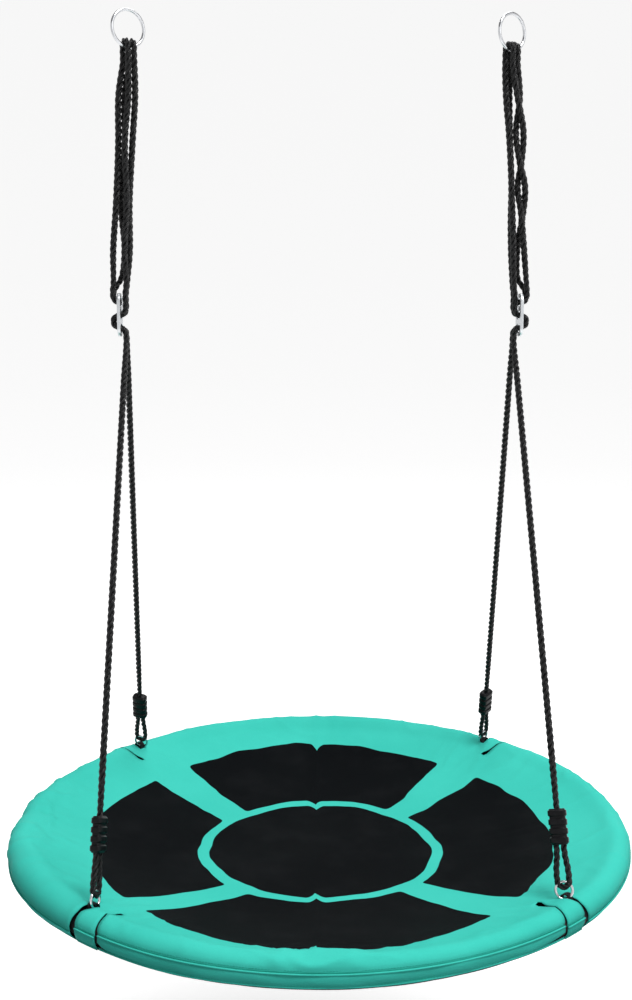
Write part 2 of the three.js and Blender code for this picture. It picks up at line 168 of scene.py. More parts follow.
class Paint:
    """A material of one Principled shader, with the fields that feed it."""

    def __init__(self, name, colour, roughness, **values):
        self.material = bpy.data.materials.new(name)
        self.material.use_nodes = True
        self.tree = self.material.node_tree
        self.shader = self.tree.nodes["Principled BSDF"]
        self.shader.inputs["Base Color"].default_value = (*colour, 1)
        self.shader.inputs["Roughness"].default_value = roughness
        for key, value in values.items():
            self.shader.inputs[key.replace("_", " ")].default_value = value
        self.height = None

    def place(self):
        node = self.tree.nodes.new("ShaderNodeTexCoord")
        return node.outputs["Object"]

    def uv(self, layer):
        node = self.tree.nodes.new("ShaderNodeUVMap")
        node.uv_map = layer
        split = self.tree.nodes.new("ShaderNodeSeparateXYZ")
        self.tree.links.new(node.outputs[0], split.inputs[0])
        return Field(self.tree, split.outputs[0]), Field(self.tree, split.outputs[1])

    def noise(self, scale, detail=3.0, vector=None, roughness=0.55):
        node = self.tree.nodes.new("ShaderNodeTexNoise")
        node.inputs["Scale"].default_value = scale
        node.inputs["Detail"].default_value = detail
        node.inputs["Roughness"].default_value = roughness
        self.tree.links.new(vector or self.place(), node.inputs["Vector"])
        return Field(self.tree, node.outputs["Fac"])

    def cells(self, scale):
        node = self.tree.nodes.new("ShaderNodeTexVoronoi")
        node.inputs["Scale"].default_value = scale
        self.tree.links.new(self.place(), node.inputs["Vector"])
        return Field(self.tree, node.outputs["Distance"])

    def mix(self, share, low, high):
        node = self.tree.nodes.new("ShaderNodeMix")
        node.data_type = "RGBA"
        self.tree.links.new(share.socket, node.inputs["Factor"])
        for socket, value in ((node.inputs["A"], low), (node.inputs["B"], high)):
            self.join(value, socket)
        return node.outputs["Result"]

    def join(self, value, socket):
        if isinstance(value, tuple):
            socket.default_value = (*value, 1)
        else:
            self.tree.links.new(value, socket)

    def colour(self, value):
        self.tree.links.new(value, self.shader.inputs["Base Color"])

    def rough(self, field):
        self.tree.links.new(field.socket, self.shader.inputs["Roughness"])

    def bump(self, field, distance, strength=1.0):
        node = self.tree.nodes.new("ShaderNodeBump")
        node.inputs["Strength"].default_value = strength
        node.inputs["Distance"].default_value = distance
        self.tree.links.new(field.socket, node.inputs["Height"])
        if self.height is not None:
            self.tree.links.new(self.height, node.inputs["Normal"])
        self.height = node.outputs[0]
        self.tree.links.new(self.height, self.shader.inputs["Normal"])


TURQUOISE = (0.062, 0.640, 0.530)
TURQUOISE_DEEP = (0.046, 0.560, 0.460)
CLOTH_BLACK = (0.0038, 0.0044, 0.0054)
CLOTH_BLACK_WORN = (0.0068, 0.0074, 0.0086)
WEAVE_PITCH = 0.0011


def weave(paint, x, y, pitch=WEAVE_PITCH, distance=0.00016):
    """Plain weave: threads that pass over and under each other in turn."""
    turn = TURN / pitch
    across = (x * turn).sine()
    along = (y * turn).sine()
    cross = (x * (turn / 2)).sine() * (y * (turn / 2)).sine()
    paint.bump(across * along + cross * 0.6, distance, 0.55)
    return cross


# ---- the printed pattern, on the flat cloth ----
DISC_RADIUS = 0.185
RINGLET_RADIUS = 0.204
RINGLET_OFFSET = 0.004
PANEL_RADIUS = 0.385
PANEL_BULGE = 0.024
FRONT_BULGE = 0.034
CORNER_ROUND = 0.014
FOLD_DIP = 0.016
FOLD_WIDTH = 0.016
# The four diagonal bands: where each starts on the ringlet, its direction, its half widths.
BAND_LENGTH = 0.190
BAND_START = 0.040
BANDS = (
    ((-0.147, 0.135), 132, 0.027, 0.042),
    ((0.147, 0.140), 45, 0.025, 0.050),
    ((-0.146, -0.164), 216, 0.023, 0.030),
    ((0.138, -0.166), 313, 0.022, 0.043),
)


def printed(paint, x, y):
    """Above zero on the black print, in metres from its edge."""
    wobble = paint.noise(8.0, 2.0)
    wobble_2 = paint.noise(10.0, 2.0, roughness=0.4)
    x = x + (wobble - 0.5) * 0.030
    y = y + (wobble_2 - 0.5) * 0.030
    centred = y + RINGLET_OFFSET
    radius = (x * x + centred * centred).root()
    crease = (x - (y * 0.045 - 0.008)).size()
    dip = crease.ramp(0, FOLD_WIDTH, FOLD_DIP, 0)
    radius = radius + dip * dip * (1 / FOLD_DIP)
    disc = (radius * -1.0) + DISC_RADIUS
    back = (y.most(0.0) * (1 / PANEL_RADIUS)).math("POWER", 4.0)
    front = ((y * -1.0).most(0.0) * (1 / PANEL_RADIUS)).math("POWER", 4.0)
    outer = back * PANEL_BULGE + front * FRONT_BULGE + PANEL_RADIUS - radius
    panel = (radius - RINGLET_RADIUS).smooth_least(outer, CORNER_ROUND)
    for (start_x, start_y), degrees, near, far in BANDS:
        cos, sin = math.cos(math.radians(degrees)), math.sin(math.radians(degrees))
        east, north = x - start_x, y - start_y
        along = east * cos + north * sin
        across = (north * cos - east * sin).size()
        half = along * ((far - near) / BAND_LENGTH) + near
        beside = (across - half).most((along + BAND_START) * -1.0)
        panel = panel.smooth_least(beside, CORNER_ROUND)
    return panel.most(disc)


def cloth_paint(name, with_print, colour, deep):
    paint = Paint(name, colour, 0.56, Specular_IOR_Level=0.014)
    x, y = paint.uv("print")
    cross = weave(paint, x, y)
    patch = paint.noise(5.0, 4.0)
    fleck = paint.noise(420.0, 2.0)
    soft = patch.ramp(0.36, 0.66) * 0.55 + fleck.ramp(0.3, 0.7) * 0.25
    tone = paint.mix(soft, colour, deep)
    if with_print:
        black = printed(paint, x, y)
        share = black.ramp(-0.0004, 0.0004)
        worn = paint.noise(14.0, 5.0).ramp(0.48, 0.72)
        dark = paint.mix(worn, CLOTH_BLACK, CLOTH_BLACK_WORN)
        tone = paint.mix(share, tone, dark)
    paint.colour(tone)
    paint.bump(paint.noise(60.0, 4.0), 0.0006, 0.35)
    paint.rough(patch.ramp(0.3, 0.7, 0.50, 0.62) + cross * 0.05)
    return paint.material


def rope_paint():
    paint = Paint("rope_fibre", (0.006, 0.006, 0.007), 0.34, Specular_IOR_Level=0.30)
    around, along = paint.uv("yarn")
    turns = around * (TURN * 5) + along * (TURN / 0.0075)
    yarn = turns.sine()
    fibre = (around * (TURN * 23) + along * (TURN / 0.0021)).sine()
    paint.bump(yarn, 0.00035, 0.9)
    paint.bump(fibre * 0.5 + paint.noise(1500.0, 2.0), 0.00008, 0.8)
    tone = paint.noise(45.0, 4.0).ramp(0.35, 0.75)
    paint.colour(paint.mix(tone * 0.7, (0.004, 0.004, 0.0045), (0.012, 0.012, 0.013)))
    paint.rough(yarn.ramp(-1, 1, 0.48, 0.30))
    return paint.material


def metal_paint(name, colour, roughness, scratch):
    paint = Paint(name, colour, roughness, Metallic=1.0)
    stain = paint.noise(90.0, 4.0)
    fine = paint.noise(1400.0, 3.0)
    paint.colour(paint.mix(stain.ramp(0.35, 0.7) * 0.5, colour, tuple(c * 0.72 for c in colour)))
    paint.rough(fine.ramp(0.3, 0.7, roughness - 0.05, roughness + scratch))
    paint.bump(fine, 0.00005, 0.35)
    return paint.material


def plastic_paint():
    paint = Paint("ferrule_moulding", (0.005, 0.005, 0.005), 0.34, Specular_IOR_Level=0.14)
    grain = paint.noise(2600.0, 2.0)
    wear = paint.noise(160.0, 5.0).ramp(0.5, 0.8)
    paint.colour(paint.mix(wear * 0.6, (0.005, 0.005, 0.006), (0.016, 0.016, 0.018)))
    paint.rough(wear * 0.18 + 0.30)
    paint.bump(grain, 0.00004, 0.6)
    return paint.material


def webbing_paint():
    paint = Paint("webbing_ribs", (0.008, 0.008, 0.009), 0.62, Specular_IOR_Level=0.2)
    x, y = paint.uv("weft")
    turn = TURN / 0.0016
    rib = (y * turn).sine() * (x * turn + (y * (turn / 2)).sine()).sine()
    paint.bump(rib, 0.0003, 0.9)
    tone = paint.noise(300.0, 3.0).ramp(0.3, 0.7)
    paint.colour(paint.mix(tone, (0.005, 0.005, 0.006), (0.013, 0.013, 0.015)))
    paint.rough(rib.ramp(-1, 1, 0.7, 0.52))
    return paint.material


def foam_paint():
    paint = Paint("foam_cells", (0.020, 0.021, 0.023), 0.85)
    cell = paint.cells(900.0)
    paint.bump(cell, 0.0003, 0.8)
    paint.colour(paint.mix(cell, (0.012, 0.013, 0.014), (0.034, 0.035, 0.037)))
    paint.rough(paint.noise(80.0, 3.0).ramp(0.3, 0.7, 0.78, 0.92))
    return paint.material


ROPE = rope_paint()
STEEL = metal_paint("ring_steel_bright", (0.60, 0.61, 0.63), 0.16, 0.10)
ZINC = metal_paint("zinc_plated_steel", (0.62, 0.64, 0.66), 0.30, 0.14)
TUBE_STEEL = metal_paint("tube_steel_plain", (0.46, 0.48, 0.50), 0.36, 0.16)
PLASTIC = plastic_paint()
WEBBING = webbing_paint()
FOAM = foam_paint()
CLOTH_TOP = cloth_paint("oxford_printed", True, TURQUOISE, TURQUOISE_DEEP)
CLOTH_PLAIN = cloth_paint("oxford_turquoise", False, TURQUOISE, TURQUOISE_DEEP)
CLOTH_UNDER = cloth_paint("oxford_black", False, CLOTH_BLACK, CLOTH_BLACK_WORN)


# ---- mesh helpers ----
def piece(name, points, faces, material, uv_name=None, uv=None, smooth=True):
    """A mesh object. uv gives one pair per corner of each face, in the faces' order."""
    used = sorted({corner for face in faces for corner in face})
    new_index = {old: new for new, old in enumerate(used)}
    faces = [tuple(new_index[corner] for corner in face) for face in faces]
    mesh = bpy.data.meshes.new(name)
    mesh.from_pydata([tuple(points[old]) for old in used], [], faces)
    if uv_name:
        layer = mesh.uv_layers.new(name=uv_name)
        flat = [value for pair in uv for value in pair]
        layer.data.foreach_set("uv", flat)
    mesh.polygons.foreach_set("use_smooth", [smooth] * len(mesh.polygons))
    mesh.materials.append(material)
    mesh.update()
    return add_object(name, mesh)


def evaluated_mesh(obj):
    """A new mesh of the object as its modifiers or its curve give it."""
    depsgraph = bpy.context.evaluated_depsgraph_get()
    return bpy.data.meshes.new_from_object(obj.evaluated_get(depsgraph), depsgraph=depsgraph)


def thicken(obj, thickness):
    """Makes a surface a sheet, with its thickness behind it."""
    solid = obj.modifiers.new("thickness", "SOLIDIFY")
    solid.thickness = thickness
    solid.offset = -1.0
    solid.use_rim = True
    mesh = evaluated_mesh(obj)
    obj.modifiers.clear()
    obj.data = mesh


def frames_along(points):
    """Tangents and parallel-transported normals of a polyline."""
    tangents = []
    last = len(points) - 1
    for i in range(len(points)):
        step = points[min(i + 1, last)] - points[max(i - 1, 0)]
        tangents.append(step.normalized())
    normal = tangents[0].orthogonal().normalized()
    normals = [normal]
    for before, after in zip(tangents, tangents[1:]):
        normal = before.rotation_difference(after) @ normal
        normal = (normal - after * normal.dot(after)).normalized()
        normals.append(normal)
    return tangents, normals


def tube_faces(count, sides, first=0, closed=False):
    """Quads between rings of points, and the ends as fans of one face."""
    faces = []
    rings = count if closed else count - 1
    for i in range(rings):
        a = first + i * sides
        b = first + ((i + 1) % count) * sides
        for j in range(sides):
            k = (j + 1) % sides
            faces.append((a + j, a + k, b + k, b + j))
    if not closed:
        faces.append(tuple(first + j for j in reversed(range(sides))))
        end = first + (count - 1) * sides
        faces.append(tuple(end + j for j in range(sides)))
    return faces


def ring_faces(rows, columns, first, is_cut=None):
    """Quads between closed rings of points, except where is_cut says so of a row and column."""
    faces = []
    for n in range(rows):
        for k in range(columns):
            if is_cut and is_cut(n, k):
                continue
            a = first + n * columns + k
            b = first + n * columns + (k + 1) % columns
            faces.append((a, a + columns, b + columns, b))
    return faces


def torus_piece(name, centre, axis, radius, wire, material, around=96, along=20):
    """A welded wire ring, with the slight swelling of its butt weld."""
    axis = axis.normalized()
    side = axis.orthogonal().normalized()
    up = axis.cross(side)
    points = []
    for i in range(around):
        angle = TURN * i / around
        out = side * math.cos(angle) + up * math.sin(angle)
        from_weld = abs((angle / TURN + 0.5) % 1 - 0.5) * TURN * radius
        swell = 1 + 0.12 * math.exp(-((from_weld / 0.0016) ** 2))
        for j in range(along):
            turn = TURN * j / along
            offset = out * math.cos(turn) + axis * math.sin(turn)
            points.append(centre + out * radius + offset * wire * swell)
    return piece(name, points, tube_faces(around, along, closed=True), material)


# ---- rope routes, as the CAD has them ----
def bundle_axis(z):
    share = (-RING_RADIUS - z) / (-RING_RADIUS - PLATE_Z)
    return RING_X + (PLATE_X - RING_X) * min(max(share, 0), 1)


# Each point: out from the bundle's axis, to the back, and up, in millimetres.
ROUTES = {
    "left": {
        "front_tail": (
            (13, 3, -100), (11, 2, -170), (11, -2, -260), (13, -5, -335), (11, -6.4, -385)
        ),
        "back_tail": (
            (4, 8, -100), (2, 8, -170), (5, 9, -260), (-3, 11, -335), (1, 10, -378)
        ),
        "front_run": (
            (-3, -6, -100), (0, -7, -170), (-6, -7, -260), (-5, -8, -335), (-9, -7, -385)
        ),
        "back_run": (
            (-13, -2, -100), (-11, 1, -170), (-9, 4.5, -260), (-12, 3, -335), (-9.5, 5, -385)
        ),
    },
    "right": {
        "front_tail": (
            (6, -6.3, -100), (13.8, -3.7, -150), (11.2, 4.3, -195), (3.2, 1.7, -235),
            (5.8, -6.3, -275), (11, -6.4, -385)
        ),
        "back_tail": (
            (11.2, 4.3, -100), (3.2, 1.7, -150), (5.8, -6.3, -195), (13.8, -3.7, -235),
            (11.2, 4.3, -275), (2, 10, -325), (1, 10, -378)
        ),
        "front_run": (
            (-11, 0, -100), (-9, -3, -150), (-8, -5, -205), (-8, -6, -300), (-9, -7, -385)
        ),
        "back_run": (
            (-4, 10, -100), (-5, 9.5, -150), (-5, 9.5, -230), (-9, 6, -300), (-9.5, 5, -385)
        ),
    },
}
# Through the plate: out from its middle and up from it, in millimetres.
TAIL_ENTRY = {
    "front": (
        (9.8, 36), (9.6, 30), (8.1, 24), (3.4, 20.6), (-2, 20.5)
    ),
    "back": (
        (5.5, 44), (9.4, 36), (9.4, 29), (8.1, 24), (3.4, 20.6), (-2, 20.5)
    ),
}
WEAVE_ROUTE = (
    (-9.6, 30), (-9.8, 12), (-8.2, 4.6), (-4, 0.3), (0, -0.2), (6.6, -2.9), (10, -10.25),
    (6.6, -17.6), (0, -20.3), (-4.4, -21.4), (-8.4, -26), (-9.6, -34), (-9.7, -42)
)
CORNERS = (
    ("left", "front", -1, -1, 25),
    ("left", "back", -1, 1, 25),
    ("right", "front", 1, -1, 25),
    ("right", "back", 1, 1, 0),
)


def strand_points(sign, route):
    points = []
    for out, back, up in route:
        z = up / 1000
        points.append(Vector((sign * (bundle_axis(z) + out / 1000), back / 1000, z)))
    return points


def plate_points(sign, lane, route):
    y = lane * LANE
    return [
        Vector((sign * (PLATE_X + out / 1000), y, PLATE_Z + up / 1000)) for out, up in route
    ]


def bight_foot(sign, lane, toward, z):
    cos, sin = math.cos(RING_TURN), math.sin(RING_TURN)
    foot = Vector((sign * RING_X, 0, z))
    foot += Vector((cos, sin, 0)) * lane * LANE_ON_RING
    return foot + Vector((-sin, cos, 0)) * toward * BIGHT_RADIUS


def corner_frame(sign, lane, twist):
    link = Vector((sign * HANG_XY, lane * HANG_XY, HANG_Z))
    top = Vector((sign * (PLATE_X - 0.0097), lane * LANE, PLATE_Z - 0.042))
    up = (top - link).normalized()
    turn = math.atan2(link.y, link.x) + math.radians(twist)
    eye_axis = Vector((math.cos(turn), math.sin(turn), 0))
    eye_axis = (eye_axis - up * eye_axis.dot(up)).normalized()
    foot = link + up * (LINK_RADIUS - LINK_ON_ROPE)
    return {
        "link": link,
        "top": top,
        "up": up,
        "eye": eye_axis,
        "link_axis": up.cross(eye_axis),
        "foot": foot,
    }


def placed(corner, across, along):
    return corner["foot"] + corner["eye"] * (across / 1000) + corner["up"] * (along / 1000)


def rope_route(side, end, sign, lane, twist):
    routes = ROUTES[side]
    tail = plate_points(sign, lane, TAIL_ENTRY[end])[::-1]
    tail += strand_points(sign, routes[f"{end}_tail"])[::-1]
    foot_z = -RING_RADIUS - BIGHT_LEG
    tail_foot = bight_foot(sign, lane, -sign, foot_z)
    run_foot = bight_foot(sign, lane, sign, foot_z)
    drop = Vector((0, 0, -0.0084))
    points = tail + [tail_foot + drop, tail_foot]
    steps = 8
    for i in range(steps + 1):
        angle = math.pi * i / steps
        height = -RING_RADIUS + BIGHT_LIFT + BIGHT_RADIUS * math.sin(angle)
        points.append(bight_foot(sign, lane, -sign * math.cos(angle), height))
    points += [run_foot, run_foot + drop]
    points += strand_points(sign, routes[f"{end}_run"])
    points += plate_points(sign, lane, WEAVE_ROUTE)
    corner = corner_frame(sign, lane, twist)
    ferrule_top = placed(corner, 0, 109.8)
    leg = ferrule_top - corner["top"]
    points += [corner["top"] + leg * (i / 10) for i in range(1, 10)]
    points += [ferrule_top, placed(corner, 0, 98), placed(corner, 2.8, 84), placed(corner, 5.2, 68)]
    points += [placed(corner, 5.2, 58), placed(corner, 5.8, 43.5), placed(corner, 8.2, 24.4)]
    for i in range(1, 8):
        angle = math.pi * i / 8
        points.append(placed(corner, 8.6 * math.cos(angle), 8.6 * (1 - math.sin(angle))))
    points += [placed(corner, -8.2, 24.4), placed(corner, -5.8, 43.5), placed(corner, -5.2, 58)]
    points += [placed(corner, -5.2, 66), placed(corner, -5.2, 76)]
    return points


def spline(points, step):
    """A centripetal Catmull-Rom curve through the points, in even steps."""
    ends = [points[0] * 2 - points[1], *points, points[-1] * 2 - points[-2]]
    dense = []
    for p0, p1, p2, p3 in zip(ends, ends[1:], ends[2:], ends[3:]):
        knots = [0.0]
        for a, b in ((p0, p1), (p1, p2), (p2, p3)):
            knots.append(knots[-1] + max((b - a).length, 1e-6) ** 0.5)
        t0, t1, t2, t3 = knots
        pieces = max(4, int((p2 - p1).length / 0.001))
        for i in range(pieces):
            t = t1 + (t2 - t1) * i / pieces
            a1 = p0 * ((t1 - t) / (t1 - t0)) + p1 * ((t - t0) / (t1 - t0))
            a2 = p1 * ((t2 - t) / (t2 - t1)) + p2 * ((t - t1) / (t2 - t1))
            a3 = p2 * ((t3 - t) / (t3 - t2)) + p3 * ((t - t2) / (t3 - t2))
            b1 = a1 * ((t2 - t) / (t2 - t0)) + a2 * ((t - t0) / (t2 - t0))
            b2 = a2 * ((t3 - t) / (t3 - t1)) + a3 * ((t - t1) / (t3 - t1))
            dense.append(b1 * ((t2 - t) / (t2 - t1)) + b2 * ((t - t1) / (t2 - t1)))
    dense.append(points[-1].copy())
    return evenly(dense, step)


def evenly(line, step):
    lengths = [0.0]
    for a, b in zip(line, line[1:]):
        lengths.append(lengths[-1] + (b - a).length)
    count = max(2, round(lengths[-1] / step))
    result, k = [], 0
    for i in range(count + 1):
        target = lengths[-1] * i / count
        while k < len(line) - 2 and lengths[k + 1] < target:
            k += 1
        span = max(lengths[k + 1] - lengths[k], 1e-9)
        result.append(line[k].lerp(line[k + 1], (target - lengths[k]) / span))
    return result


STRANDS = 3
FREE_SWELL = 0.15
STRAND_SIDES = 8
STRAND_RADIUS = 0.00221
STRAND_ORBIT = ROPE_RADIUS - STRAND_RADIUS
LAY_LENGTH = 0.031
ROPE_STEP = 0.0022


def ease(value, low, high):
    t = min(max((value - low) / (high - low), 0), 1)
    return t * t * (3 - 2 * t)


def girth(z):
    """The rope's thickness at a height: full when it hangs free, less where metal squeezes it."""
    free = min(
        ease(-z, 0.03, 0.08),
        ease(abs(z - PLATE_Z), 0.05, 0.10),
        1 - ease(-z, 1.08, 1.14),
    )
    return 1 + FREE_SWELL * free


def twisted_rope(name, line):
    """Three strands laid round each other along the line, as one mesh."""
    tangents, normals = frames_along(line)
    step = sum((b - a).length for a, b in zip(line, line[1:])) / (len(line) - 1)
    points, faces, uv = [], [], []
    for strand in range(STRANDS):
        centres, outs = [], []
        for i, (centre, tangent, normal) in enumerate(zip(line, tangents, normals)):
            turn = TURN * (i * step / LAY_LENGTH + strand / STRANDS)
            out = normal * math.cos(turn) + tangent.cross(normal) * math.sin(turn)
            centres.append(centre + out * STRAND_ORBIT * girth(centre.z))
            outs.append(out)
        first = len(points)
        last = len(centres) - 1
        for i, (centre, out) in enumerate(zip(centres, outs)):
            along = (centres[min(i + 1, last)] - centres[max(i - 1, 0)]).normalized()
            side = (out - along * out.dot(along)).normalized()
            other = along.cross(side)
            for j in range(STRAND_SIDES):
                turn = TURN * j / STRAND_SIDES
                offset = side * math.cos(turn) + other * math.sin(turn)
                points.append(centre + offset * STRAND_RADIUS * girth(centre.z))
        faces += tube_faces(len(centres), STRAND_SIDES, first)
        for i in range(last):
            for j in range(STRAND_SIDES):
                near, far = i * step, (i + 1) * step
                a, b = j / STRAND_SIDES, (j + 1) / STRAND_SIDES
                uv += [(a, near), (b, near), (b, far), (a, far)]
        uv += [(0.5, 0.0)] * STRAND_SIDES * 2
    return piece(name, points, faces, ROPE, "yarn", uv)


for side, end, sign, lane, twist in CORNERS:
    route = spline(rope_route(side, end, sign, lane, twist), ROPE_STEP)
    length = sum((b - a).length for a, b in zip(route, route[1:]))
    name = f"{side}_{end}_rope"
    rope = twisted_rope(name, route)
    nodes = [f"{side}_{end}_rope_{part}" for part in ("bight", "tail", "leg", "eye")]
    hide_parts(*nodes)
    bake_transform(rope)
    tuple(route[0])
    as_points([tuple(p) for p in route[::3]] + [tuple(route[-1])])


# ---- hanging rings, link rings, adjuster plates and ferrules ----
def adjuster_plate(name, x):
    """A pressed plate with three obround slots and rolled edges."""
    data = bpy.data.curves.new(name, "CURVE")
    data.dimensions = "2D"
    data.fill_mode = "BOTH"
    bevel = 0.0009
    data.extrude = PLATE_THICK / 2 - bevel
    data.bevel_depth = bevel
    data.bevel_resolution = 3
    data.offset = -bevel

    def outline(points):
        loop = data.splines.new("POLY")
        loop.points.add(len(points) - 1)
        for point, (u, v) in zip(loop.points, points):
            point.co = (u, v, 0, 1)
        loop.use_cyclic_u = True

    def obround(centre_v, half_u, half_v, corner):
        points = []
        for quarter, (su, sv) in enumerate(((1, 1), (-1, 1), (-1, -1), (1, -1))):
            for i in range(13):
                angle = math.pi / 2 * (quarter + i / 12)
                u = su * (half_u - corner) + corner * math.cos(angle)
                v = sv * (half_v - corner) + corner * math.sin(angle)
                points.append((u, centre_v + v))
        return points

    outline(obround(0, PLATE_WIDTH / 2, PLATE_HEIGHT / 2, PLATE_CORNER))
    for k in (-1, 0, 1):
        slot_half = SLOT_HEIGHT / 2
        outline(obround(k * SLOT_PITCH, SLOT_LENGTH / 2, slot_half, slot_half - 0.0002)[::-1])
    shape = add_object(name + "_outline", data)
    mesh = evaluated_mesh(shape)
    bpy.data.objects.remove(shape)
    mesh.transform(Matrix.Rotation(math.pi / 2, 4, "Z") @ Matrix.Rotation(math.pi / 2, 4, "X"))
    mesh.transform(Matrix.Translation((x, 0, PLATE_Z)))
    mesh.materials.clear()
    mesh.materials.append(ZINC)
    return add_object(name, mesh)


# Millimetres along and across the ferrule, from the link's end of the eye.
FERRULE_LOW = 58.4
FERRULE_HIGH = 109.4
FERRULE_HALF_WIDTH = 13.5
FERRULE_HALF_DEPTH = 9.0
FERRULE_RIBS = 4
FERRULE_GROOVE = 1.9
FERRULE_ROUND = 1.3
FERRULE_SQUARENESS = 0.58
FERRULE_STATIONS = 120
FERRULE_SIDES = 48


def ferrule(name, corner):
    """A moulded clamp: a rounded bar with ribs, over one strand above and two below."""
    eye, up = corner["eye"], corner["up"]
    depth = up.cross(eye)
    length = FERRULE_HIGH - FERRULE_LOW
    points = []
    for i in range(FERRULE_STATIONS + 1):
        share = i / FERRULE_STATIONS
        wave = math.cos(TURN * FERRULE_RIBS * (share - 0.5 / FERRULE_RIBS - 0.5))
        groove = FERRULE_GROOVE * (1 / (1 + math.exp(9 * (wave + 0.42))))
        from_end = min(min(share, 1 - share) * length / FERRULE_ROUND, 1)
        inset = groove + FERRULE_ROUND * (1 - math.sqrt(max(0, 1 - (1 - from_end) ** 2)))
        for j in range(FERRULE_SIDES):
            angle = TURN * j / FERRULE_SIDES
            cos, sin = math.cos(angle), math.sin(angle)
            a = math.copysign(abs(cos) ** FERRULE_SQUARENESS, cos) * (FERRULE_HALF_WIDTH - inset)
            b = math.copysign(abs(sin) ** FERRULE_SQUARENESS, sin) * (FERRULE_HALF_DEPTH - inset)
            base = corner["foot"] + up * ((FERRULE_LOW + share * length) / 1000)
            points.append(base + eye * (a / 1000) + depth * (b / 1000))
    faces = tube_faces(FERRULE_STATIONS + 1, FERRULE_SIDES)
    return piece(name, points, faces, PLASTIC)


for sign, side in ((-1, "left"), (1, "right")):
    ring_axis = Vector((-math.sin(RING_TURN), math.cos(RING_TURN), 0))
    centre = Vector((sign * RING_X, 0, 0))
    name = f"{side}_hanging_ring_wire"
    ring = torus_piece(name, centre, ring_axis, RING_RADIUS, RING_WIRE, STEEL, 128, 24)
    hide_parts(f"{side}_hanging_ring")
    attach(ring, "mount_rings")
    plate = adjuster_plate(f"{side}_adjuster_pressing", sign * PLATE_X)
    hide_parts(f"{side}_adjuster_plate")
    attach(plate, f"{side}_hanger")

for side, end, sign, lane, twist in CORNERS:
    corner = corner_frame(sign, lane, twist)
    name = f"{side}_{end}"
    clamp = ferrule(f"{name}_clamp", corner)
    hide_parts(f"{name}_ferrule")
    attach(clamp, f"{side}_hanger")
    link = torus_piece(
        f"{name}_link", corner["link"], corner["link_axis"], LINK_RADIUS, LINK_WIRE, STEEL, 72, 18
    )
    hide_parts(f"{name}_link_ring")
    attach(link, "seat")


# ---- the seat's cloth ----
COLUMNS = 480
COLUMN = TURN / COLUMNS
QUARTER = math.pi / 2
FIRST_HANG = QUARTER / 2
# Bar angles in degrees: 0 outwards, 90 on top. The cloth leaves the deck at ARC_START, meets
# the bar at ARC_TOP and ends at the seam. On the deck its bar angle falls from FLAT_ANGLE.
ARC_TOP = 108
DECK_EDGE = 0.425
ARC_START = 0.455
ARC_STEP = 8
ARC_LEAD = 0.008
SEAM_ANGLE = 20
FLAT_ANGLE = 180
CLOTH_THICK = 0.0012
MOST_SETTLING = 0.003
# How far round the bar the seams of the back, left, front and right covers are rolled under.
COVER_TURN = (0, 34, 0, 34)
TAB_TURN = 10
# Where the padded rim is fatter or thinner than its mean: hoop angle, metres, reach in metres.
SWELLS = (
    (203, 0.0070, 0.17),
    (150, -0.0024, 0.09),
    (243, 0.0020, 0.08),
    (295, -0.0024, 0.13),
    (20, 0.0010, 0.15),
)
BACK_RISE = 0.0055
# On which side of its hang point the tab lies, anticlockwise from the right back one.
TAB_SIDES = (-1, 1, 1, -1)
# The gap where the webbing loop comes up: over these bar angles, then as a slit to the seam.
LOOP_FROM = 122
LOOP_TO = 92
LOOP_HALF = 0.0056
GAP_SHIFT = -0.005
GAP_HALF = 0.0058
# The slit on the tab's far side: its place on top of the bar, and how far it slants.
SLIT_FROM = 165
SLIT_TOP = 0.036
SLIT_OUT = 0.043
SLIT_IN = 0.022
SLIT_HALF = 0.0016
SLIT_MOUTH = 0.0032
SLIT_COLUMN = 6
WARP_END = 15


def mix(low, high, share):
    return low + (high - low) * min(max(share, 0), 1)


def gap_edges(bar_angle):
    """The gap beside the tab, along the hoop from the hang point towards the tab."""
    if bar_angle >= LOOP_TO:
        middle, half = 0.0, LOOP_HALF
    else:
        share = (LOOP_TO - bar_angle) / (LOOP_TO - SEAM_ANGLE)
        middle = GAP_SHIFT * min(share, 1) ** 0.7
        half = mix(LOOP_HALF, 0.0022, share * 3) + mix(0, GAP_HALF - 0.0022, share * 1.5 - 0.5)
    return middle - half, middle + half


def slit_edges(bar_angle):
    """The slit on the far side of the tab, along the hoop from the hang point."""
    if bar_angle < 90:
        middle = mix(SLIT_TOP, SLIT_OUT, (90 - bar_angle) / (90 - SEAM_ANGLE))
    else:
        middle = mix(SLIT_TOP, SLIT_IN, (bar_angle - 90) / (SLIT_FROM - 90))
    half = SLIT_HALF + SLIT_MOUTH * bell(bar_angle - SLIT_FROM + 14, 12)
    half += mix(0, 0.0014, (60 - bar_angle) / 40)
    return middle - half, middle + half


def bell(value, width):
    return math.exp(-((value / width) ** 2))


